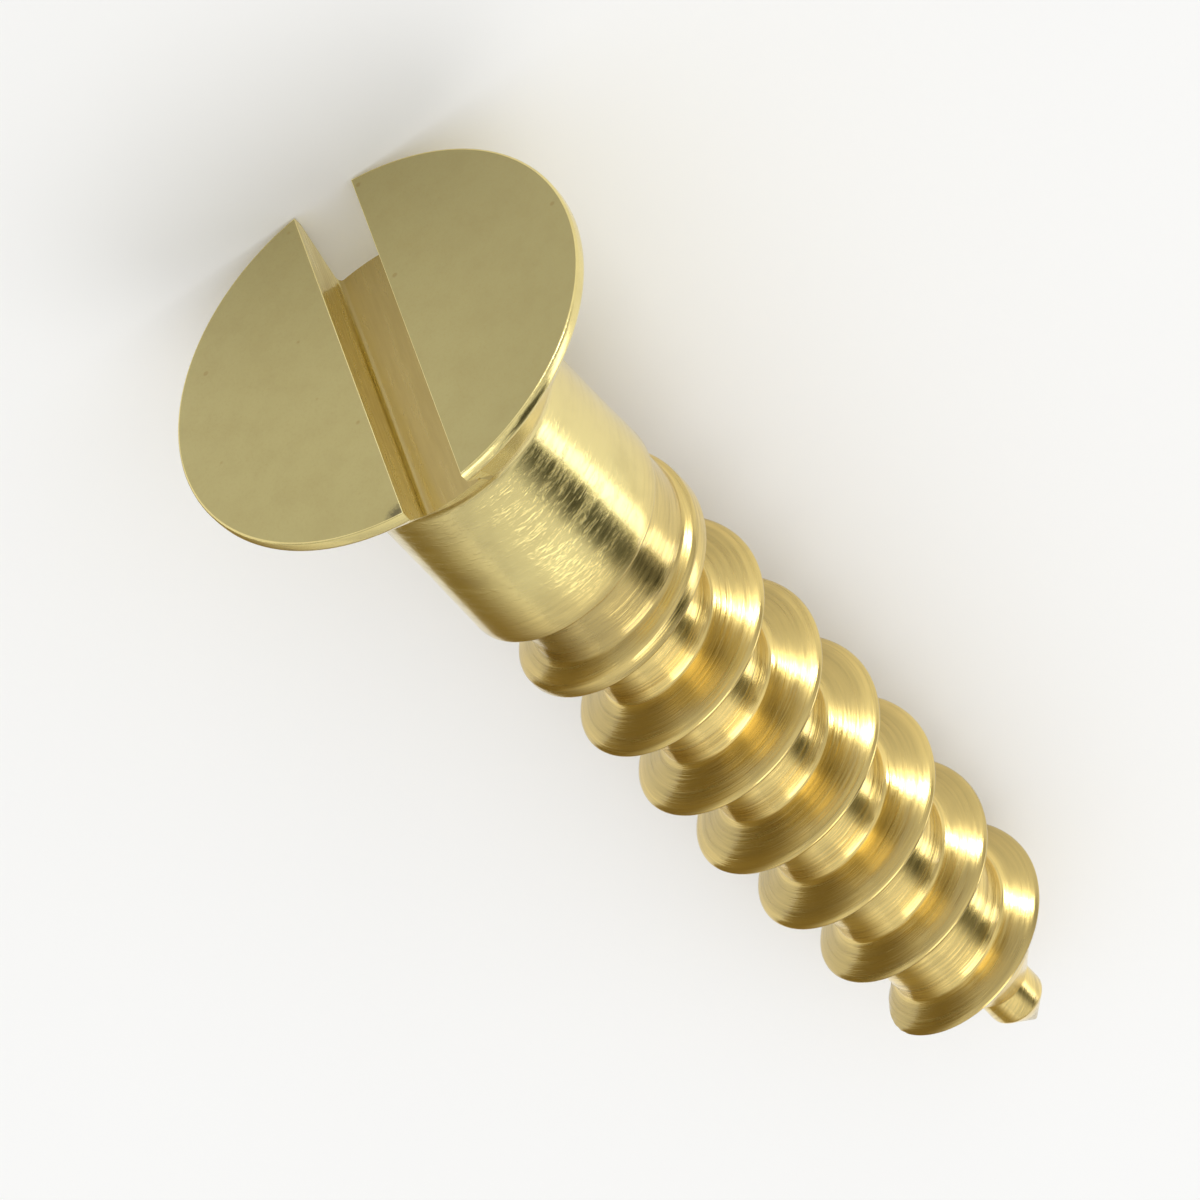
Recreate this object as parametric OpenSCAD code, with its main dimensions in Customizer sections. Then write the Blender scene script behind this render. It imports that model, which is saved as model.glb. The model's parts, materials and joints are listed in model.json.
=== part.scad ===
// Slotted countersunk wood screw, headed, threaded and sawn from one piece of brass wire.
// It lies on the plane z = 0 as it comes to rest: the two corners that the driver slot leaves
// in the rim of the head touch the plane, and so does one crest of the thread near the point.

/* [Screw] */
// Length from the face of the head to the end of the point
length = 25; // [22:0.5:60]
// Diameter of the plain shank
shank_d = 4.95; // [4.4:0.05:6]

/* [Head] */
// Diameter of the head over its rim
head_d = 9.5; // [8:0.05:12]
// Width of the straight rim between the face and the cone
rim_w = 0.25; // [0.1:0.05:0.6]
// Included angle of the cone under the head
cone_angle = 90; // [80:1:100]

/* [Driver slot] */
// Width of the slot
slot_w = 1.4; // [0.8:0.05:2]
// Depth of the slot below the face of the head
slot_depth = 1.25; // [0.8:0.05:1.8]

/* [Thread] */
// Diameter over the crests of the thread
thread_d = 5.05; // [4.4:0.05:6]
// Diameter of the core at the bottom of the groove
root_d = 3.2; // [2.6:0.05:3.8]
// Advance of the right-hand thread in one turn
pitch = 2.2; // [1.8:0.05:3]
// Included angle between the two flanks of a crest
thread_angle = 50; // [40:1:60]
// Width of the flat on top of a crest
crest_w = 0.1; // [0.05:0.01:0.2]
// Distance from the face of the head to where the middle of the groove starts to sink
thread_start = 6.2; // [5.6:0.1:12]
// Length over which the groove sinks to its full depth
runout = 3.2; // [2:0.1:6]
// Distance from the face of the head to the first crest on the side that the screw lies on
first_crest = 7.65; // [6.6:0.05:8.8]

/* [Point] */
// Length over which the crests narrow before the point
taper_l = 6; // [3:0.1:10]
// Diameter over the crests where the point starts
taper_d = 4.4; // [3.9:0.05:5]
// Length over which the crests and the core narrow to the nib
point_l = 1.3; // [1:0.1:3]
// Diameter of the blunt nib past the thread
nib_d = 1.26; // [0.8:0.02:1.6]
// Length of the nib, with its cone
nib_l = 1.4; // [0.9:0.05:2]
// Length of the cone that ends the nib
cone_l = 0.75; // [0.4:0.05:0.8]

/* [Hidden] */
$fn = 96;
head_r = head_d / 2;
shank_r = shank_d / 2;
thread_r = thread_d / 2;
root_r = root_d / 2;
taper_r = taper_d / 2;
nib_r = nib_d / 2;

// Places along the axis, from the face of the head
cone_end = rim_w + (head_r - shank_r) / tan(cone_angle / 2);
shank_end = thread_start - pitch / 2;
thread_end = length - nib_l;
point_start = thread_end - point_l;
taper_start = point_start - taper_l;

// The threaded body is let into the shank by this length, a hair below its surface
let_in = 0.3;
hair = 0.01;
body_start = shank_end - let_in;
// A flank has at least this length along the axis
min_flank = 0.05;
// Corners of the threaded body around one turn, and strips across the bottom of its groove
sides = 48;
strips = 4;

function mix(a, b, t) = a + (b - a) * max(0, min(1, t));
function ease(t) = let (u = max(0, min(1, t))) u * u * (3 - 2 * u);
function point_r(r, s) = mix(r, nib_r, (s - point_start) / point_l);
function grown_r(s) = mix(shank_r - hair, thread_r, (s - shank_end) / runout);
function crest_r(s) = point_r(mix(grown_r(s), taper_r, (s - taper_start) / taper_l), s);
function core_r(s) = point_r(root_r, s);
function flank(depth) = min_flank + depth * tan(thread_angle / 2);

// Section of the groove whose middle stands at m, as [distance along the axis, radius]. The tool
// that cuts it keeps its width as it sinks in, so the crests are wide where the groove is shallow.
rows_per_turn = strips + 3;
function sunk(m) = ease((m - thread_start) / runout);
function groove_r(s, m) = mix(crest_r(s), core_r(s), sunk(m));
function half_floor(m) = (pitch - crest_w) / 2 - flank(crest_r(m) - core_r(m));
function floor_s(m, i) = m + half_floor(m) * (2 * i / strips - 1);
function row_point(m, row) =
    row == 0 ? edge_point(m, -1) :
    row == rows_per_turn - 1 ? edge_point(m, 1) :
    let (s = floor_s(m, row - 1)) [s, groove_r(s, m)];
function edge_point(m, side) =
    let (s = m + side * (half_floor(m) + flank(crest_r(m) - groove_r(m, m)))) [s, crest_r(s)];

// Turns of the thread, counted from the first crest, that cover the whole threaded body
first_turn = floor((body_start - first_crest) / pitch - 1.5);
last_turn = ceil((thread_end - first_crest) / pitch);
function groove_middle(turn, side) = first_crest + pitch * (turn + 0.5 + side / sides);

// The screw tips about the corners of the slot until the first corner of a crest touches the plane
corner_r = sqrt(head_r * head_r - slot_w * slot_w / 4);
function touch_tilt(p, angle) = atan((corner_r - p[1] * cos(angle)) / (p[0] - rim_w));
tilt = min([for (turn = [0 : last_turn], side = [0 : sides - 1], edge = [-1, 1])
    let (p = edge_point(groove_middle(turn, side), edge))
    if (p[0] < thread_end) touch_tilt(p, 360 * side / sides)]);
face_x = (corner_r * sin(tilt) - length * cos(tilt)) / 2;
face_z = corner_r * cos(tilt) + rim_w * sin(tilt);

// Head and plain shank, turned about the axis
module turned_blank() {
    rotate_extrude()
        polygon([
            [0, 0],
            [head_r, 0],
            [head_r, rim_w],
            [shank_r, cone_end],
            [shank_r, shank_end],
            [0, shank_end]
        ]);
}

// Saw cut across the head
module driver_slot() {
    translate([-head_d, -slot_w / 2, -slot_depth])
        cube([2 * head_d, slot_w, 2 * slot_depth]);
}

// Core, right-hand thread and nib as one closed body. Its rows of corners follow the thread, and
// the rows that pass either end gather in the ring of corners there.
module threaded_body() {
    rows = (last_turn - first_turn + 1) * rows_per_turn;
    grid = [for (row = [0 : rows - 1], side = [0 : sides - 1])
        let (turn = first_turn + floor(row / rows_per_turn))
        row_point(groove_middle(turn, side), row % rows_per_turn)];
    function grid_s(row, side) = grid[row * sides + side][0];
    rings = [[body_start, crest_r(body_start)], [thread_end, nib_r], [length - cone_l, nib_r]];
    profile = concat(grid, [for (ring = rings, side = [0 : sides - 1]) ring]);
    points = [for (i = [0 : len(profile) - 1])
        let (angle = 360 * (i % sides) / sides, z = profile[i][0], r = profile[i][1])
        [r * cos(angle), r * sin(angle), z]];
    tip = len(points);

    function ring_corner(ring, side) = (rows + ring) * sides + side % sides;
    // A corner of the grid past one turn is the same corner one turn further along
    function corner(row, side) =
        side == sides ? corner(row + rows_per_turn, 0) :
        row >= rows || grid_s(row, side) >= thread_end ? ring_corner(1, side) :
        grid_s(row, side) <= body_start ? ring_corner(0, side) :
        row * sides + side;

    thread_faces = [for (row = [0 : rows - 2], side = [0 : sides - 1])
        let (a = corner(row, side), b = corner(row + 1, side))
        let (c = corner(row + 1, side + 1), d = corner(row, side + 1))
        each [[a, b, c], [a, c, d]]];
    nib_faces = [for (side = [0 : sides - 1])
        let (a = ring_corner(1, side), b = ring_corner(2, side))
        let (c = ring_corner(2, side + 1), d = ring_corner(1, side + 1))
        each [[a, b, c], [a, c, d], [b, tip, c]]];
    start_face = [for (side = [0 : sides - 1]) ring_corner(0, side)];
    whole = [for (f = thread_faces) if (f[0] != f[1] && f[1] != f[2] && f[2] != f[0]) f];
    polyhedron(
        points = concat(points, [[0, 0, length]]),
        faces = concat(whole, nib_faces, [start_face]),
        convexity = 12
    );
}

module screw() {
    color("darkkhaki")
        translate([face_x, 0, face_z])
            rotate([0, 90 + tilt, 0]) {
                difference() {
                    turned_blank();
                    driver_slot();
                }
                threaded_body();
            }
}

screw();
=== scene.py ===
"""A slotted countersunk wood screw in plain brass, and the studio it lies in."""

import json
import math

import bmesh
import bpy
from mathutils import Matrix, Vector


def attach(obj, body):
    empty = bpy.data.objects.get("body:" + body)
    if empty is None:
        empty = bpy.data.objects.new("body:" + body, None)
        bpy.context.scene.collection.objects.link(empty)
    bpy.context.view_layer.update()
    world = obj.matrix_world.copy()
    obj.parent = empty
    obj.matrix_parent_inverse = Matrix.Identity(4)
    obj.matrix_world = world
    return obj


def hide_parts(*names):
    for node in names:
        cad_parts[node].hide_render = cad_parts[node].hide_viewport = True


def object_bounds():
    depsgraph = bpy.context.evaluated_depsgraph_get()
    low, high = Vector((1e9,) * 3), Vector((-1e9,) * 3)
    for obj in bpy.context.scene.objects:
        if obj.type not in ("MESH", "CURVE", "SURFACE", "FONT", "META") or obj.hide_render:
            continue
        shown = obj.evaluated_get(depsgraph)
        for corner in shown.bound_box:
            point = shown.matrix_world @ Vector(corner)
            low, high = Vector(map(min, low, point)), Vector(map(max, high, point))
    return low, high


bl_info = {
    "name": "Brass wood screw",
    "version": (1, 0, 0),
    "blender": (4, 5, 0),
    "location": "View3D > Sidebar > Wood screw",
    "description": "Builds a slotted countersunk brass wood screw over its frame",
    "category": "Object",
}

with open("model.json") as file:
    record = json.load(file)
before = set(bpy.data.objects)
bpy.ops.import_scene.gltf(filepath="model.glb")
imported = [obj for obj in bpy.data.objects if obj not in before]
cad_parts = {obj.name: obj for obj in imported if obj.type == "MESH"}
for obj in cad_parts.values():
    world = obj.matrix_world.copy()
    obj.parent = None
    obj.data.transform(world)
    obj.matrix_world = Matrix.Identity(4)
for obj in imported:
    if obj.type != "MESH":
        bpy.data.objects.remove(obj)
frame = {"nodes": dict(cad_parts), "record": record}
cad_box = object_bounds()

MM = 0.001
UP = Vector((0, 0, 1))

# Sides of every turned shape, and strips across every rounded edge
SIDES = 144
EDGE_STRIPS = 3
# The rest of these sizes are in millimetres. The shank and the threaded length are joined this
# far before the shank's end.
JOINED_BEFORE = 0.3
# A flank of the thread has at least this length along the axis
LEAST_FLANK = 0.05
# Rows across a rounded corner of the thread, in shares of half its width
BEND = (-1, -0.35, 0.35, 1)
# Radius of the very end of the nib
TIP_R = 0.06
# Radius of the saw's corners, and how much smaller the slot's lips are rounded than the rim
SAW_CORNER = 0.12
LIP_SHARE = 0.35
# Two places or two radii this close are the same
SAME_PLACE = 1e-4
SAME_RADIUS = 1e-3
# A face whose normal has at least this share along an axis is square to it
SQUARE = 0.99999


def mount(name):
    """The frame's mount of that name."""
    return next(m for m in frame["record"]["mounts"] if m["name"] == name)


# The axis of the screw runs from the middle of the head's face towards the point
AXIS = Vector(mount("shank")["axis"]).normalized()
ON_AXIS = Vector(mount("shank")["pos_m"])
FACE = ON_AXIS + AXIS * (Vector(mount("head_face")["pos_m"]) - ON_AXIS).dot(AXIS)
ACROSS = Vector((0, 1, 0))
UNDER = ACROSS.cross(AXIS)
PLACE = Matrix.Translation(FACE) @ Matrix((UNDER, ACROSS, AXIS)).transposed().to_4x4()
LENGTH = max((v.co - FACE).dot(AXIS) for v in frame["nodes"]["screw"].data.vertices)
SHANK_D = 2 * mount("shank")["dims"]["r_mm"] * MM


def length_prop(name, description, default):
    """A size in metres, shown as a length."""
    return bpy.props.FloatProperty(
        name=name, description=description, default=default, min=0, unit="LENGTH", precision=6
    )


def angle_prop(name, description, degrees):
    """An angle, given in degrees."""
    return bpy.props.FloatProperty(
        name=name, description=description, default=math.radians(degrees), subtype="ANGLE"
    )


def share_prop(name, description, default):
    """A share from 0 to 1."""
    return bpy.props.FloatProperty(
        name=name, description=description, default=default, min=0, max=1, subtype="FACTOR"
    )


def colour_prop(name, description, default):
    """A colour, in linear values."""
    return bpy.props.FloatVectorProperty(
        name=name, description=description, default=default, min=0, max=1, size=3, subtype="COLOR"
    )


def power_prop(name, description, default):
    """A lamp's power in watts."""
    return bpy.props.FloatProperty(
        name=name, description=description, default=default, min=0, unit="POWER"
    )


def strength_prop(name, description, default):
    """The strength of the light that the surroundings give."""
    return bpy.props.FloatProperty(
        name=name, description=description, default=default, min=0
    )


class ScrewSizes(bpy.types.PropertyGroup):
    """Sizes of the screw, measured from the face of its head."""

    length: length_prop("Length", "From the face of the head to the end of the point", LENGTH)
    shank_d: length_prop("Shank", "Diameter of the plain shank", SHANK_D)
    head_d: length_prop("Head", "Diameter of the head over its rim", 9.5 * MM)
    rim_w: length_prop("Rim", "Width of the straight rim", 0.25 * MM)
    cone_angle: angle_prop("Cone", "Included angle of the cone under the head", 90)
    slot_w: length_prop("Slot width", "Width of the driver slot", 1.4 * MM)
    slot_depth: length_prop("Slot depth", "Depth of the slot below the face", 1.25 * MM)
    thread_d: length_prop("Thread", "Diameter over the crests", 5.05 * MM)
    root_d: length_prop("Core", "Diameter at the bottom of the groove", 3.2 * MM)
    pitch: length_prop("Pitch", "Advance of the thread in one turn", 2.2 * MM)
    thread_angle: angle_prop("Thread angle", "Included angle of a crest", 50)
    crest_w: length_prop("Crest", "Width of the flat on top of a crest", 0.1 * MM)
    thread_start: length_prop("Thread start", "Where the groove starts to sink", 6.2 * MM)
    runout: length_prop("Run-out", "Length over which the groove sinks", 3.2 * MM)
    first_crest: length_prop("First crest", "First crest on the underside", 7.65 * MM)
    taper_l: length_prop("Taper length", "Length over which the crests narrow", 6 * MM)
    taper_d: length_prop("Taper", "Diameter over the crests at the point", 4.4 * MM)
    point_l: length_prop("Point", "Length that narrows to the nib", 1.3 * MM)
    nib_d: length_prop("Nib", "Diameter of the blunt nib", 1.26 * MM)
    nib_l: length_prop("Nib length", "Length of the nib with its cone", 1.4 * MM)
    cone_l: length_prop("Nib cone", "Length of the cone that ends the nib", 0.75 * MM)
    edge_r: length_prop("Edge rounding", "Rounding of the rim and the slot's lips", 0.05 * MM)
    root_round: length_prop("Root rounding", "Half width of the rounding at the core", 0.03 * MM)
    crest_round: length_prop("Crest rounding", "Half width of the rounding at a crest", 0.05 * MM)


class BrassFinish(bpy.types.PropertyGroup):
    """Colours of the brass and how smooth it is."""

    shank_colour: colour_prop(
        "Turned brass", "Colour of the rim, cone and shank", (0.83, 0.695, 0.28)
    )
    thread_colour: colour_prop("Threaded brass", "Colour of the thread", (0.95, 0.725, 0.25))
    # Painted shade: the face's brass is darker than the shank's, standing in for the dim floor
    # that the face mirrors
    painted_shade_face_colour: colour_prop("Face brass", "Colour of the satin face", (0.48, 0.41, 0.165))
    # Painted light: brighter than real brass, so that the walls read lit inside the dark slot
    painted_light_wall_colour: colour_prop("Slot wall brass", "Colour of the slot's walls", (1.0, 0.88, 0.42))
    # Painted shade: darker than the shank's brass, like the face
    painted_shade_slot_colour: colour_prop("Slot brass", "Colour of the sawn slot", (0.48, 0.36, 0.118))
    tarnish: colour_prop("Tarnish", "Colour of the faint tarnish", (0.40, 0.30, 0.10))
    # Also the colour of the painted shade on one half of the face
    stain_and_shade_colour: colour_prop("Stain", "Colour of the stain beside the slot", (0.10, 0.08, 0.03))
    shank_rough: share_prop("Turned roughness", "Roughness of the shank", 0.21)
    face_rough: share_prop("Face roughness", "Roughness of the satin face", 0.36)
    slot_rough: share_prop("Slot roughness", "Roughness of the slot", 0.30)
    thread_rough: share_prop("Thread roughness", "Roughness of the thread", 0.21)
    worn_turn: angle_prop("Worn strip", "Where round the shank the nicks crowd", 158)


def mix(a, b, t):
    """From a to b as t goes from 0 to 1."""
    return a + (b - a) * max(0.0, min(1.0, t))


def ease(t):
    """A smooth step from 0 to 1."""
    t = max(0.0, min(1.0, t))
    return t * t * (3 - 2 * t)


def soft_ramp(x, w):
    """Zero below 0 and x above it, with the corner rounded over w on each side."""
    if x <= -w:
        return 0.0
    return x if x >= w else (x + w) ** 2 / (4 * w)


class Screw:
    """The screw's profile in millimetres: s along the axis from the face, r from the axis."""

    def __init__(self, sizes):
        for key in ScrewSizes.__annotations__:
            value = getattr(sizes, key)
            setattr(self, key, value if key.endswith("angle") else value / MM)
        self.head_r, self.shank_r = self.head_d / 2, self.shank_d / 2
        self.nib_r = self.nib_d / 2
        self.cone_end = self.rim_w + (self.head_r - self.shank_r) / math.tan(self.cone_angle / 2)
        self.shank_end = self.thread_start - self.pitch / 2
        self.thread_end = self.length - self.nib_l
        self.point_start = self.thread_end - self.point_l
        self.taper_start = self.point_start - self.taper_l

    def point_r(self, r, s):
        """The radius r, narrowed to the nib's along the point."""
        return mix(r, self.nib_r, (s - self.point_start) / self.point_l)

    def crest_r(self, s):
        """Radius over the crests."""
        grown = mix(self.shank_r, self.thread_d / 2, (s - self.shank_end) / self.runout)
        return self.point_r(mix(grown, self.taper_d / 2, (s - self.taper_start) / self.taper_l), s)

    def core_r(self, s):
        """Radius at the bottom of the groove."""
        return self.point_r(self.root_d / 2, s)

    def groove_rows(self, middle):
        """The groove whose middle stands there: how far it has sunk, and half its section.

        The section is [(distance from the middle, share of the flank's height)].
        """
        sunk = ease((middle - self.thread_start) / self.runout)
        depth = self.crest_r(middle) - self.core_r(middle)
        slope = math.tan(self.thread_angle / 2)
        floor = (self.pitch - self.crest_w) / 2 - (LEAST_FLANK + depth * slope)
        flank = LEAST_FLANK + depth * sunk * slope
        edge = floor + flank
        root = min(self.root_round, flank / 2, floor / 2)
        crest = min(self.crest_round, flank / 2)
        marks = [0, floor / 2]
        marks += [floor + root * k for k in BEND]
        marks += [mix(floor + root, edge - crest, k / 3) for k in (1, 2)]
        marks += [edge + crest * k for k in BEND]
        marks += [self.pitch / 2]
        height = [(soft_ramp(t - floor, root) - soft_ramp(t - edge, crest)) / flank for t in marks]
        return sunk, list(zip(marks, height))


def new_wire(bm, corners):
    """Joined edges through (r, s) corners in the plane y = 0."""
    verts = [bm.verts.new((r, 0, s)) for r, s in corners]
    return verts + [bm.edges.new(pair) for pair in zip(verts, verts[1:])]


def spin_round(bm, wire):
    """Turns a wire once about the axis."""
    bmesh.ops.spin(
        bm, geom=wire, cent=(0, 0, 0), axis=(0, 0, 1), dvec=(0, 0, 0), angle=2 * math.pi,
        steps=SIDES, use_merge=True,
    )


def ring_edges(bm, r, s):
    """The edges of the ring of radius r at s."""
    def on(v):
        radius = math.hypot(v.co.x, v.co.y)
        return abs(v.co.z - s) < SAME_PLACE and abs(radius - r) < SAME_RADIUS
    return [e for e in bm.edges if on(e.verts[0]) and on(e.verts[1])]


def round_edges(bm, edges, radius):
    """Rounds these edges."""
    bmesh.ops.bevel(
        bm, geom=edges, offset=radius, offset_type="OFFSET", segments=EDGE_STRIPS, profile=0.5,
        affect="EDGES", clamp_overlap=True, material=-1,
    )


def turned_head(bm, screw):
    """Face, rim, cone and plain shank. Returns where the threaded length starts."""
    start = screw.shank_end - JOINED_BEFORE
    corners = [(screw.head_r, 0), (screw.head_r, screw.rim_w)]
    corners += [(screw.shank_r, screw.cone_end), (screw.shank_r, start)]
    spin_round(bm, new_wire(bm, corners))
    bmesh.ops.contextual_create(bm, geom=ring_edges(bm, screw.head_r, 0))
    round_edges(bm, ring_edges(bm, screw.head_r, 0), screw.edge_r)
    round_edges(bm, ring_edges(bm, screw.head_r, screw.rim_w), screw.edge_r)
    round_edges(bm, ring_edges(bm, screw.shank_r, screw.cone_end), 4 * screw.edge_r)
    return start


def cut_thread(bm, screw, start):
    """A line along the axis, wound one turn with the pitch, then set to the groove's section.

    The line has the same number of rows for every turn of the thread. The rows that pass either
    end gather there, and are merged later.
    """
    _, half = screw.groove_rows(screw.length / 2)
    rows = 2 * len(half) - 1
    first = math.floor((start - screw.first_crest) / screw.pitch - 1.5)
    last = math.ceil((screw.thread_end - screw.first_crest) / screw.pitch)
    old = set(bm.verts)
    steps = range((last - first + 1) * (rows - 1) + 1)
    wire = new_wire(bm, [(1, (step / (rows - 1) - 0.5) * screw.pitch) for step in steps])
    bmesh.ops.spin(
        bm, geom=wire, cent=(0, 0, 0), axis=(0, 0, 1), dvec=(0, 0, screw.pitch / SIDES),
        angle=2 * math.pi, steps=SIDES,
    )
    wound = [v for v in bm.verts if v not in old]
    for v in wound:
        side = round(math.atan2(v.co.y, v.co.x) / (2 * math.pi) * SIDES) % SIDES
        place = v.co.z / screw.pitch - side / SIDES + 0.5
        turn = math.floor(place + 0.25 / rows)
        row = round((place - turn) * (rows - 1))
        middle = screw.first_crest + screw.pitch * (first + turn + 0.5 + side / SIDES)
        sunk, half = screw.groove_rows(middle)
        t, height = half[abs(row - len(half) + 1)]
        s = middle + math.copysign(t, row - len(half) + 1)
        s = max(start, min(screw.thread_end, s))
        r = mix(mix(screw.crest_r(s), screw.core_r(s), sunk), screw.crest_r(s), height)
        angle = 2 * math.pi * side / SIDES
        v.co = (r * math.cos(angle), r * math.sin(angle), s)


def turned_nib(bm, screw):
    """The blunt nib that ends the point."""
    shoulder = screw.length - screw.cone_l
    corners = [(screw.nib_r, screw.thread_end), (screw.nib_r, shoulder)]
    corners += [(TIP_R, screw.length - 0.4 * TIP_R), (0, screw.length)]
    spin_round(bm, new_wire(bm, corners))
    round_edges(bm, ring_edges(bm, screw.nib_r, shoulder), screw.edge_r)


def arc(centre, radius, start, end, count):
    """Corners on an arc, with its angles in degrees."""
    angles = [math.radians(start + (end - start) * i / count) for i in range(count + 1)]
    return [(centre[0] + radius * math.cos(a), centre[1] + radius * math.sin(a)) for a in angles]


def saw_cut(screw):
    """A bar in the shape of the driver slot, with its lips flared and its lower corners round."""
    half, lip = screw.slot_w / 2, screw.edge_r * LIP_SHARE
    side = [(half + lip, -1)]
    side += arc((half + lip, lip), lip, 270, 180, 4)
    centre = (half - SAW_CORNER, screw.slot_depth - SAW_CORNER)
    side += arc(centre, SAW_CORNER, 0, 90, 4)
    section = side + [(-y, s) for y, s in reversed(side)]
    bm = bmesh.new()
    verts = [bm.verts.new((-screw.head_d, y, s)) for y, s in section]
    face = bm.faces.new(verts)
    out = bmesh.ops.extrude_face_region(bm, geom=[face])
    moved = [v for v in out["geom"] if isinstance(v, bmesh.types.BMVert)]
    bmesh.ops.translate(bm, verts=moved, vec=(2 * screw.head_d, 0, 0))
    bmesh.ops.recalc_face_normals(bm, faces=bm.faces)
    return new_object("saw cut", bm)


def new_object(name, bm):
    """An object at the origin with that mesh."""
    mesh = bpy.data.meshes.new(name)
    bm.to_mesh(mesh)
    bm.free()
    obj = bpy.data.objects.new(name, mesh)
    bpy.context.scene.collection.objects.link(obj)
    return obj


def cut_away(obj, tool):
    """Takes the tool's shape out of the object, and removes the tool."""
    cut = obj.modifiers.new("Saw cut", "BOOLEAN")
    cut.operation, cut.solver, cut.object = "DIFFERENCE", "EXACT", tool
    graph = bpy.context.evaluated_depsgraph_get()
    mesh = bpy.data.meshes.new_from_object(obj.evaluated_get(graph))
    obj.modifiers.clear()
    whole = obj.data
    obj.data = mesh
    bpy.data.meshes.remove(whole)
    shape = tool.data
    bpy.data.objects.remove(tool)
    bpy.data.meshes.remove(shape)


# Places of the three materials in the screw's list, in the order that they are added
FACE_SLOT, TURNED_SLOT, SAWN_SLOT = 0, 1, 2


def finish_faces(obj, screw):
    """Gives each face its material slot and keeps the plane faces flat."""
    bm = bmesh.new()
    bm.from_mesh(obj.data)
    for face in bm.faces:
        middle, normal = face.calc_center_median(), face.normal
        aside = abs(middle.y) - screw.slot_w / 2
        shallow = middle.z < screw.slot_depth + SAME_RADIUS
        plane = abs(normal.z) > SQUARE and shallow
        wall = abs(normal.y) > SQUARE and abs(aside) < SAME_RADIUS
        in_slot = aside < screw.edge_r and shallow
        on_rim = math.hypot(middle.x, middle.y) > screw.head_r - 0.6 * screw.edge_r
        face.smooth = not (plane or wall)
        if plane and middle.z < SAME_RADIUS:
            face.material_index = FACE_SLOT
        elif in_slot and not on_rim:
            face.material_index = SAWN_SLOT
        else:
            face.material_index = TURNED_SLOT
    bmesh.ops.transform(bm, matrix=PLACE @ Matrix.Scale(MM, 4), verts=bm.verts)
    bm.to_mesh(obj.data)
    bm.free()
    obj.data.set_sharp_from_angle(angle=math.radians(35))


class SCREW_OT_make_screw(bpy.types.Operator):
    """Turn, thread and saw the screw out of one piece of brass"""

    bl_idname = "screw.make_screw"
    bl_label = "Make the screw"

    def execute(self, context):
        screw = Screw(context.scene.screw_sizes)
        bm = bmesh.new()
        start = turned_head(bm, screw)
        turned_nib(bm, screw)
        cut_thread(bm, screw, start)
        bmesh.ops.remove_doubles(bm, verts=bm.verts, dist=SAME_PLACE)
        bmesh.ops.dissolve_degenerate(bm, edges=bm.edges, dist=1e-5)
        bmesh.ops.recalc_face_normals(bm, faces=bm.faces)
        open_edges = sum(not e.is_manifold for e in bm.edges)
        if open_edges:
            raise RuntimeError(f"the screw's surface has {open_edges} open edges")
        obj = new_object("brass_screw", bm)
        cut_away(obj, saw_cut(screw))
        finish_faces(obj, screw)
        for new_material in (satin_face, turned_brass, sawn_slot):
            obj.data.materials.append(new_material(context.scene.brass_finish, screw))
        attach(obj, "root")
        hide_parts("screw")
        return {"FINISHED"}


class Nodes:
    """Adds nodes to a tree, each with its inputs given by name."""

    def __init__(self, tree):
        self.tree = tree

    def add(self, kind, settings=None, **inputs):
        """Adds a node; i0, i1 and so on name an input by its number."""
        node = self.tree.nodes.new(kind)
        for key, value in (settings or {}).items():
            setattr(node, key, value)
        for key, value in inputs.items():
            self.set(node, key.replace("_", " "), value)
        return node

    def set(self, node, key, value):
        """Links an output to the input of that name or number, or writes a plain value."""
        socket = node.inputs[int(key[1:]) if key[0] == "i" and key[1:].isdigit() else key]
        if isinstance(value, bpy.types.NodeSocket):
            self.tree.links.new(value, socket)
        else:
            socket.default_value = value

    def math(self, operation, a, b=0.0):
        """The result of a Math node."""
        return self.add("ShaderNodeMath", {"operation": operation}, i0=a, i1=b).outputs[0]

    def noise(self, place, scale, detail, roughness=0.5):
        """The value of a Noise Texture."""
        return self.add(
            "ShaderNodeTexNoise", Vector=place, Scale=scale, Detail=detail, Roughness=roughness
        ).outputs[0]

    def ramp(self, value, low, high, to_low=0.0, to_high=1.0):
        """Maps low..high to to_low..to_high, clamped, with a smooth step."""
        return self.add(
            "ShaderNodeMapRange", {"interpolation_type": "SMOOTHSTEP"}, Value=value,
            From_Min=low, From_Max=high, To_Min=to_low, To_Max=to_high,
        ).outputs[0]

    def blend(self, share, a, b):
        """From colour a to colour b."""
        node = self.tree.nodes.new("ShaderNodeMix")
        node.data_type = "RGBA"
        for socket, value in zip((node.inputs[0], node.inputs[6], node.inputs[7]), (share, a, b)):
            if isinstance(value, bpy.types.NodeSocket):
                self.tree.links.new(value, socket)
            else:
                socket.default_value = value
        return node.outputs[2]


def new_group(name, inputs, outputs):
    """A shader node group with float or vector sockets, and its nodes."""
    group = bpy.data.node_groups.new(name, "ShaderNodeTree")
    kinds = {"float": "NodeSocketFloat", "vector": "NodeSocketVector"}
    for key, kind in inputs.items():
        group.interface.new_socket(name=key, in_out="INPUT", socket_type=kinds[kind])
    for key, kind in outputs.items():
        group.interface.new_socket(name=key, in_out="OUTPUT", socket_type=kinds[kind])
    nodes = Nodes(group)
    return group, nodes, nodes.add("NodeGroupInput"), nodes.add("NodeGroupOutput")


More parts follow.
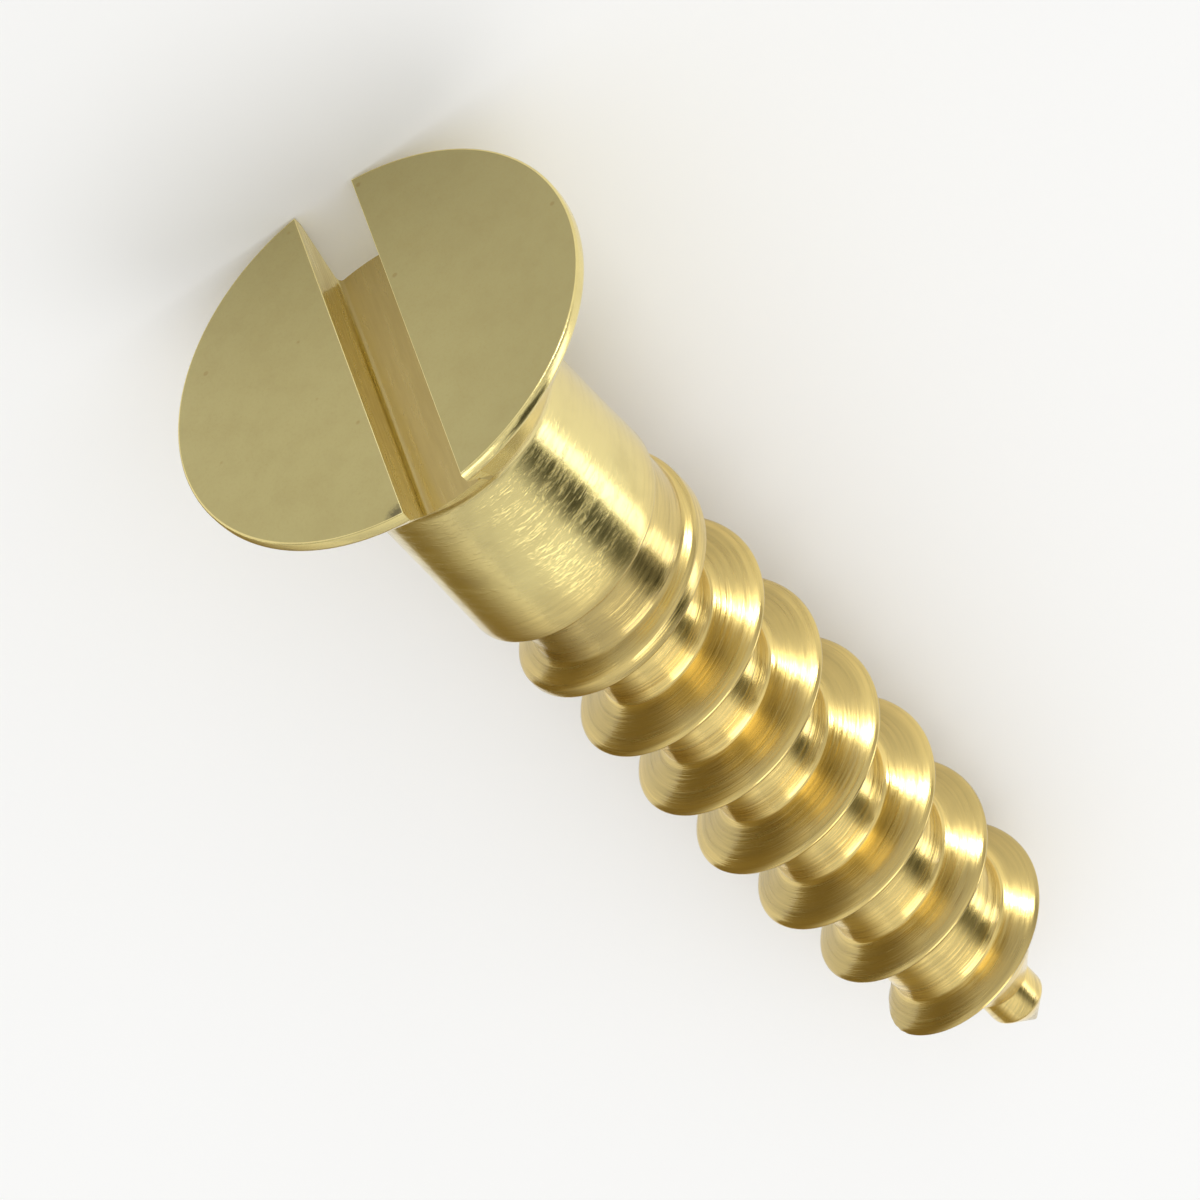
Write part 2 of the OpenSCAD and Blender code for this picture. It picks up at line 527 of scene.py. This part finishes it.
def around_marks():
    """Group: fine marks that run round the axis, as a lathe tool or emery leaves them."""
    name = "Marks round the axis"
    if name in bpy.data.node_groups:
        return bpy.data.node_groups[name]
    group, n, inp, out = new_group(
        name, {"Position": "vector", "Marks per mm": "float", "Spread": "float"}, {"Mark": "float"}
    )
    axes = n.add("ShaderNodeSeparateXYZ", Vector=inp.outputs["Position"])
    flat = n.add("ShaderNodeCombineXYZ", X=axes.outputs["X"], Y=axes.outputs["Y"])
    out_r = n.add("ShaderNodeVectorMath", {"operation": "NORMALIZE"}, i0=flat.outputs[0])
    spread = n.add("ShaderNodeVectorMath", {"operation": "SCALE"}, i0=out_r.outputs[0])
    n.set(spread, "Scale", inp.outputs["Spread"])
    along = n.math("MULTIPLY", axes.outputs["Z"], inp.outputs["Marks per mm"])
    lift = n.add("ShaderNodeCombineXYZ", Z=along)
    where = n.add(
        "ShaderNodeVectorMath", {"operation": "ADD"}, i0=spread.outputs[0], i1=lift.outputs[0]
    )
    n.set(out, "Mark", n.noise(where.outputs[0], 1.0, 3.0, 0.6))
    return group


def helix_streaks():
    """Group: streaks that follow the thread, as the die leaves them."""
    name = "Streaks along the thread"
    if name in bpy.data.node_groups:
        return bpy.data.node_groups[name]
    group, n, inp, out = new_group(
        name, {"Position": "vector", "Pitch": "float", "Streaks per mm": "float", "Run": "float"},
        {"Streak": "float"},
    )
    axes = n.add("ShaderNodeSeparateXYZ", Vector=inp.outputs["Position"])
    x, y, z = (axes.outputs[key] for key in "XYZ")
    radius = n.math("SQRT", n.math("ADD", n.math("MULTIPLY", x, x), n.math("MULTIPLY", y, y)))
    turn = n.math("MULTIPLY", n.math("DIVIDE", z, inp.outputs["Pitch"]), 2 * math.pi)
    phase = n.math("SUBTRACT", turn, n.math("ARCTAN2", y, x))
    reach = n.math("MULTIPLY", inp.outputs["Streaks per mm"], 0.35)
    where = n.add(
        "ShaderNodeCombineXYZ", X=n.math("MULTIPLY", n.math("COSINE", phase), reach),
        Y=n.math("MULTIPLY", n.math("SINE", phase), reach),
        Z=n.math("MULTIPLY", radius, inp.outputs["Streaks per mm"]),
    )
    noise = n.add(
        "ShaderNodeTexNoise", {"noise_dimensions": "4D"}, Vector=where.outputs[0],
        W=n.math("MULTIPLY", z, inp.outputs["Run"]), Scale=1.0, Detail=3.0, Roughness=0.65,
    )
    n.set(out, "Streak", noise.outputs[0])
    return group


def use_group(nodes, group, **inputs):
    """Places a group in a material."""
    node = nodes.add("ShaderNodeGroup", {"node_tree": group})
    for key, value in inputs.items():
        nodes.set(node, key.replace("_", " "), value)
    return node.outputs[0]


def new_brass(name):
    """A metal material: its nodes, its shader and the position in millimetres on the screw."""
    material = bpy.data.materials.new(name)
    material.use_nodes = True
    tree = material.node_tree
    tree.nodes.clear()
    n = Nodes(tree)
    shader = n.add("ShaderNodeBsdfPrincipled", Metallic=1.0, Coat_Weight=0.7, Coat_Roughness=0.12)
    n.set(shader, "Specular Tint", (0.94, 0.90, 0.76, 1.0))
    n.add("ShaderNodeOutputMaterial", Surface=shader.outputs[0])
    coords = n.add("ShaderNodeTexCoord")
    place = n.add(
        "ShaderNodeMapping", {"vector_type": "TEXTURE"}, Vector=coords.outputs["Object"],
        Location=PLACE.to_translation(), Rotation=PLACE.to_euler(), Scale=(MM, MM, MM),
    )
    return material, n, shader, place.outputs[0]


def rgba(colour):
    """The colour with an alpha of 1."""
    return (*colour, 1.0)


def satin_face(finish, screw):
    """The face: satin, faintly mottled, with a few dark pits; its brass is painted darker than the
    shank's as painted shade, and one half darker still.
    """
    material, n, shader, place = new_brass("Brass, satin face")
    mottle = n.noise(place, 1.1, 4.0, 0.6)
    grain = n.noise(place, 14.0, 3.0, 0.7)
    cells = n.add("ShaderNodeTexVoronoi", Vector=place, Scale=1.3)
    some = n.add("ShaderNodeSeparateColor", Color=cells.outputs["Color"]).outputs[0]
    hollow = n.ramp(cells.outputs["Distance"], 0.05, 0.10, 1, 0)
    pit = n.math("MULTIPLY", hollow, n.ramp(some, 0.4, 0.6))
    tarnish, dark = rgba(finish.tarnish), rgba(finish.stain_and_shade_colour)
    # Painted shade: the face starts from a darker copy of the brass
    colour = n.blend(n.ramp(mottle, 0.35, 0.75, 0.0, 0.16), rgba(finish.painted_shade_face_colour), tarnish)
    colour = n.blend(n.math("MULTIPLY", pit, 0.8), colour, tarnish)

    # A stain at one corner of the slot
    inwards = 0.12
    corner = (inwards - screw.head_r, -screw.slot_w / 2 - inwards, 0)
    away = n.add("ShaderNodeVectorMath", {"operation": "DISTANCE"}, i0=place, i1=corner)
    away = n.math("ADD", away.outputs["Value"], n.math("MULTIPLY", grain, 0.3))
    colour = n.blend(n.ramp(away, 0.25, 0.5, 0.85, 0.0), colour, dark)

    # Painted shade: one half of the face is darkened a little towards the stain colour
    aside = n.add("ShaderNodeSeparateXYZ", Vector=place).outputs["Y"]
    colour = n.blend(n.ramp(aside, -screw.slot_w, screw.head_r, 0.0, 0.2), colour, dark)
    speckle = n.ramp(grain, 0.45, 0.75, 0.0, 0.25)
    n.set(shader, "Base Color", n.blend(speckle, colour, tarnish))
    rough = finish.face_rough
    n.set(shader, "Roughness", n.ramp(mottle, 0.3, 0.7, rough - 0.04, rough + 0.08))
    height = n.math("SUBTRACT", grain, n.math("MULTIPLY", pit, 1.5))
    bump = n.add("ShaderNodeBump", Strength=1.0, Distance=1.5e-6, Height=height)
    n.set(shader, "Normal", bump.outputs[0])
    return material


def turned_brass(finish, screw):
    """The rim, cone and shank with fine marks round them, and the thread with its streaks."""
    material, n, shader, place = new_brass("Brass, turned and threaded")
    axes = n.add("ShaderNodeSeparateXYZ", Vector=place)
    x, y, along = (axes.outputs[key] for key in "XYZ")
    radius = n.math("SQRT", n.math("ADD", n.math("MULTIPLY", x, x), n.math("MULTIPLY", y, y)))
    threaded = n.ramp(along, screw.shank_end, screw.thread_start + screw.runout / 2)
    fine = use_group(n, around_marks(), Position=place, Marks_per_mm=13.0, Spread=11.0)
    coarse = use_group(n, around_marks(), Position=place, Marks_per_mm=6.0, Spread=1.2)
    streak = use_group(
        n, helix_streaks(), Position=place, Pitch=screw.pitch, Streaks_per_mm=12.0, Run=2.0
    )

    # Colour: faint tarnish in patches, duller flanks and streaks on the thread
    tarnish = rgba(finish.tarnish)
    stain = n.math("MULTIPLY", n.ramp(n.noise(place, 0.8, 3.0, 0.55), 0.45, 0.8), 0.3)
    colour = n.blend(threaded, rgba(finish.shank_colour), rgba(finish.thread_colour))
    colour = n.blend(stain, colour, tarnish)
    core, crest = screw.root_d / 2, screw.taper_d / 2
    off_core = n.ramp(radius, core + 0.02, core + 0.2)
    flank = n.math("MULTIPLY", off_core, n.ramp(radius, crest, crest + 0.2, 1, 0.5))
    dulled = n.math("MULTIPLY", n.math("MULTIPLY", flank, threaded), 0.6)
    colour = n.blend(dulled, colour, tarnish)
    drawn = n.math("MULTIPLY", n.ramp(streak, 0.35, 0.75), n.math("MULTIPLY", threaded, 0.6))
    n.set(shader, "Base Color", n.blend(drawn, colour, tarnish))

    # Roughness, from the shank's to the thread's
    smooth = n.ramp(coarse, 0.3, 0.7, finish.shank_rough - 0.05, finish.shank_rough + 0.06)
    rough = n.ramp(streak, 0.3, 0.7, finish.thread_rough - 0.06, finish.thread_rough + 0.08)
    step = n.math("MULTIPLY", n.math("SUBTRACT", rough, smooth), threaded)
    n.set(shader, "Roughness", n.math("ADD", smooth, step))

    # Scratches round the shank, nicks that crowd in one worn strip, and the thread's streaks
    scratch = n.math("MULTIPLY", n.ramp(fine, 0.48, 0.66), n.ramp(coarse, 0.35, 0.6))
    nicks = use_group(n, around_marks(), Position=place, Marks_per_mm=18.0, Spread=7.0)
    patches = n.ramp(n.noise(place, 0.7, 2.0), 0.4, 0.6, 0.6, 1.6)
    across = n.math(
        "ADD", n.math("MULTIPLY", x, math.cos(finish.worn_turn)),
        n.math("MULTIPLY", y, math.sin(finish.worn_turn)),
    )
    worn = n.ramp(n.math("DIVIDE", across, radius), 0.92, 0.98, 0.12, 1.0)
    patches = n.math("MULTIPLY", patches, worn)
    scratch = n.math("ADD", scratch, n.math("MULTIPLY", n.ramp(nicks, 0.58, 0.70), patches))
    on_shank = n.math("MULTIPLY", scratch, n.math("SUBTRACT", 1.0, threaded))
    height = n.math("ADD", on_shank, n.math("MULTIPLY", streak, n.math("MULTIPLY", threaded, 3.0)))
    bump = n.add("ShaderNodeBump", Strength=1.0, Distance=3e-6, Height=height)
    n.set(shader, "Normal", bump.outputs[0])
    return material


def sawn_slot(finish, screw):
    """The slot: saw marks along it, its floor darker than the face and painted darker than the
    shank's brass as painted shade, its walls painted brighter than brass as painted light.
    """
    material, n, shader, place = new_brass("Brass, sawn slot")
    drawn_out = (0.6, 9.0, 9.0)
    stretch = n.add("ShaderNodeVectorMath", {"operation": "MULTIPLY"}, i0=place, i1=drawn_out)
    marks = n.noise(stretch.outputs[0], 1.0, 3.0, 0.6)
    share = n.ramp(marks, 0.35, 0.75, 0.0, 0.25)
    aside = n.math("ABSOLUTE", n.add("ShaderNodeSeparateXYZ", Vector=place).outputs["Y"])
    # Painted shade and painted light: the slot's floor gets a darker copy of the brass, its walls
    # a brighter one
    on_wall = n.ramp(aside, 0.47 * screw.slot_w, 0.495 * screw.slot_w)
    colour = n.blend(on_wall, rgba(finish.painted_shade_slot_colour), rgba(finish.painted_light_wall_colour))
    n.set(shader, "Base Color", n.blend(share, colour, rgba(finish.tarnish)))
    rough = finish.slot_rough
    n.set(shader, "Roughness", n.ramp(marks, 0.3, 0.7, rough - 0.06, rough + 0.1))
    bump = n.add("ShaderNodeBump", Strength=1.0, Distance=4e-6, Height=marks)
    n.set(shader, "Normal", bump.outputs[0])
    return material


class StudioSetup(bpy.types.PropertyGroup):
    """The camera and the light round the screw."""

    view_tilt: angle_prop("View angle", "Angle of the view off the screw's axis", 49.84)
    view_roll: angle_prop("View roll", "Turn of the view about the screw's axis", 15.9)
    axis_slope: angle_prop("Picture slope", "Slope of the screw across the picture", 45.55)
    view_width: length_prop("View width", "Width of the picture at the screw", 24.27 * MM)
    middle_right: length_prop("Middle right", "How far right of the centre it lies", 2.2354 * MM)
    middle_down: length_prop("Middle down", "How far below the centre it lies", 1.7397 * MM)
    distance: length_prop("Distance", "From the camera to the screw", 0.6)
    floor_colour: colour_prop("Floor", "Colour of the floor", (0.95, 0.95, 0.94))
    card_colour: colour_prop(
        "Side flag", "Colour of the dark flag that the shank mirrors", (0.05, 0.05, 0.03)
    )
    flag_colour: colour_prop(
        "Low flag", "Colour of the low flag round the screw", (0.36, 0.28, 0.115)
    )
    flag_h: length_prop("Low flag height", "Height of the low flag round the screw", 11 * MM)
    zenith: strength_prop("Zenith", "Light from straight above", 0.86)
    horizon: strength_prop("Horizon", "Light from the sides", 0.508)
    softbox: power_prop("Softbox", "Power of the softbox", 0.148)
    backlight: power_prop("Back light", "Power of the lamp behind", 0.28)
    overhead: power_prop("Overhead", "Power of the lamp above", 0.90)


def view_axes(studio):
    """Right, up and back of the view."""
    raised = -UNDER
    near = math.cos(studio.view_roll) * raised + math.sin(studio.view_roll) * ACROSS
    side = -math.sin(studio.view_roll) * raised + math.cos(studio.view_roll) * ACROSS
    sine, cosine = math.sin(studio.view_tilt), math.cos(studio.view_tilt)
    down_axis = sine * AXIS + cosine * near
    back = -cosine * AXIS + sine * near
    sine, cosine = math.sin(studio.axis_slope), math.cos(studio.axis_slope)
    return cosine * down_axis + sine * side, -sine * down_axis + cosine * side, back


def aimed(place, target, up=UP):
    """The place and turn of a lamp, camera or flag there, with its -Z towards the target."""
    back = (place - target).normalized()
    right = up.cross(back).normalized()
    turn = Matrix((right, back.cross(right), back)).transposed()
    return Matrix.Translation(place) @ turn.to_4x4()


def add_lamp(name, power, size, place, target):
    """A soft lamp, with its width and its height."""
    data = bpy.data.lights.new(name, "AREA")
    data.energy, data.shape = power, "RECTANGLE"
    data.size, data.size_y = size
    lamp = bpy.data.objects.new(name, data)
    bpy.context.scene.collection.objects.link(lamp)
    lamp.matrix_world = aimed(place, target)


def plain_material(name, colour):
    """A plain matt material, with its nodes and its shader."""
    material = bpy.data.materials.new(name)
    material.use_nodes = True
    material.node_tree.nodes.clear()
    n = Nodes(material.node_tree)
    shader = n.add("ShaderNodeBsdfPrincipled", Base_Color=rgba(colour), Roughness=0.9)
    n.set(shader, "Specular IOR Level", 0.1)
    n.add("ShaderNodeOutputMaterial", Surface=shader.outputs[0])
    return material, n, shader


def flag(name, bm, colour, pale, along, start):
    """A flag that grows paler along one way, from that share of its length on.

    Only reflections see it: the camera, the floor and the shadows do not.
    """
    reach = [v.co.dot(along) for v in bm.verts]
    low, high = min(reach), max(reach)
    obj = new_object(name, bm)
    material, n, shader = plain_material(name.replace("_", " "), colour)
    coords = n.add("ShaderNodeTexCoord").outputs["Object"]
    place = n.add("ShaderNodeVectorMath", {"operation": "DOT_PRODUCT"}, i0=coords, i1=along)
    share = n.ramp(place.outputs["Value"], low + (high - low) * start, high)
    n.set(shader, "Base Color", n.blend(share, rgba(colour), rgba(pale)))
    obj.data.materials.append(material)
    obj.visible_camera = obj.visible_diffuse = obj.visible_shadow = False


# Each lamp: its name, its width and height, the azimuth and elevation where it stands, and its
# distance from the screw
LAMPS = (
    ("softbox", (0.15, 0.15), (50, 4), 0.35),
    ("backlight", (0.12, 0.035), (150, 2.5), 0.4),
    ("overhead", (0.4, 0.4), (5, 71), 0.6),
)


def direction(azimuth, elevation):
    """A unit vector; azimuth 0 is +X and 90 is +Y, both in degrees."""
    a, e = math.radians(azimuth), math.radians(elevation)
    return Vector((math.cos(a) * math.cos(e), math.sin(a) * math.cos(e), math.sin(e)))


def lay_floor(studio):
    """A wide sheet of pale paper at the height that the screw lies on."""
    bm = bmesh.new()
    bmesh.ops.create_grid(bm, x_segments=1, y_segments=1, size=1.5)
    bmesh.ops.translate(bm, verts=bm.verts, vec=(0, 0, cad_box[0][2]))
    floor = new_object("floor", bm)
    floor.data.materials.append(plain_material("Floor paper", studio.floor_colour)[0])


def stand_side_flag(studio, middle):
    """A dark flag on the right, which the shank and the core mirror as their dark band."""
    distance, width, height = 0.3, 0.18, 0.15
    stands = aimed(middle + direction(31, 26) * distance, middle)
    bm = bmesh.new()
    bmesh.ops.create_grid(bm, x_segments=1, y_segments=1, size=0.5)
    size = Matrix.Diagonal((width, height, 1, 1))
    bmesh.ops.transform(bm, matrix=stands @ size, verts=bm.verts)
    leftwards = -stands.col[0].to_3d()
    flag("side_flag", bm, studio.card_colour, studio.floor_colour, leftwards, 0.35)


def stand_low_flag(studio):
    """A low curved wall on the floor beside the screw, on the side that the camera sees.

    The lower edge of the shank and of the crests mirror it.
    """
    reach, distance = LENGTH * 1.6, LENGTH * 0.315
    bm = bmesh.new()
    bmesh.ops.create_circle(bm, segments=64, radius=1)
    bmesh.ops.transform(bm, matrix=Matrix.Diagonal((reach, distance, 1, 1)), verts=bm.verts)
    wall = bmesh.ops.extrude_edge_only(bm, edges=bm.edges)
    moved = [v for v in wall["geom"] if isinstance(v, bmesh.types.BMVert)]
    bmesh.ops.translate(bm, verts=moved, vec=(0, 0, studio.flag_h))
    for place, away in (((0, 0, 0), (0, 1, 0)), (FACE, (-1, 0, 0))):
        whole = bm.verts[:] + bm.edges[:] + bm.faces[:]
        bmesh.ops.bisect_plane(bm, geom=whole, plane_co=place, plane_no=away, clear_outer=True)
    flag("low_flag", bm, studio.flag_colour, studio.floor_colour, UP, 0.3)


def light_all_round(studio):
    """Plain light from all sides, stronger from above."""
    world = bpy.data.worlds.new("studio")
    world.use_nodes = True
    world.node_tree.nodes.clear()
    n = Nodes(world.node_tree)
    coords = n.add("ShaderNodeTexCoord")
    height = n.add("ShaderNodeSeparateXYZ", Vector=coords.outputs["Generated"]).outputs["Z"]
    strength = n.ramp(height, 0.0, 0.9, studio.horizon, studio.zenith)
    light = n.add("ShaderNodeBackground", Color=(1, 1, 1, 1), Strength=strength)
    n.add("ShaderNodeOutputWorld", Surface=light.outputs[0])
    bpy.context.scene.world = world


def set_camera(studio, middle):
    """The camera, at its distance from the screw and with the screw off the picture's centre."""
    right, up, back = view_axes(studio)
    data = bpy.data.cameras.new("camera")
    data.sensor_width = 36
    data.lens = data.sensor_width * studio.distance / studio.view_width
    data.clip_start, data.clip_end = 0.01, 10
    camera = bpy.data.objects.new("camera", data)
    bpy.context.scene.collection.objects.link(camera)
    target = middle - right * studio.middle_right + up * studio.middle_down
    camera.matrix_world = aimed(target + back * studio.distance, target, up)
    bpy.context.scene.camera = camera


class SCREW_OT_make_stage(bpy.types.Operator):
    """Lay the floor, set the flags and lamps, and point the camera"""

    bl_idname = "screw.make_stage"
    bl_label = "Make the stage"

    def execute(self, context):
        studio = context.scene.studio_setup
        middle = FACE + AXIS * LENGTH / 2
        lay_floor(studio)
        stand_side_flag(studio, middle)
        stand_low_flag(studio)
        for name, size, (azimuth, elevation), distance in LAMPS:
            place = middle + direction(azimuth, elevation) * distance
            add_lamp(name, getattr(studio, name), size, place, middle)
        light_all_round(studio)
        set_camera(studio, middle)
        context.scene.view_settings.view_transform = "Standard"
        return {"FINISHED"}


class SCREW_PT_panel(bpy.types.Panel):
    """The screw's sizes, finish and stage"""

    bl_label = "Wood screw"
    bl_space_type = "VIEW_3D"
    bl_region_type = "UI"
    bl_category = "Wood screw"

    def draw(self, context):
        for key, (group, label) in PROPERTY_GROUPS.items():
            box = self.layout.box()
            box.label(text=label)
            for name in group.__annotations__:
                box.prop(getattr(context.scene, key), name)
        self.layout.operator("screw.make_screw")
        self.layout.operator("screw.make_stage")


PROPERTY_GROUPS = {
    "screw_sizes": (ScrewSizes, "Sizes"),
    "brass_finish": (BrassFinish, "Finish"),
    "studio_setup": (StudioSetup, "Stage"),
}
CLASSES = (
    ScrewSizes, BrassFinish, StudioSetup, SCREW_OT_make_screw, SCREW_OT_make_stage, SCREW_PT_panel
)


def register():
    """Registers the classes and puts their settings on the scene."""
    for cls in CLASSES:
        bpy.utils.register_class(cls)
    for key, (group, _) in PROPERTY_GROUPS.items():
        setattr(bpy.types.Scene, key, bpy.props.PointerProperty(type=group))


def unregister():
    """Takes the settings and the classes away again."""
    for key in PROPERTY_GROUPS:
        delattr(bpy.types.Scene, key)
    for cls in reversed(CLASSES):
        bpy.utils.unregister_class(cls)


def main():
    """Makes the screw and its stage."""
    register()
    bpy.ops.screw.make_screw()
    bpy.ops.screw.make_stage()


if __name__ == "__main__":
    main()
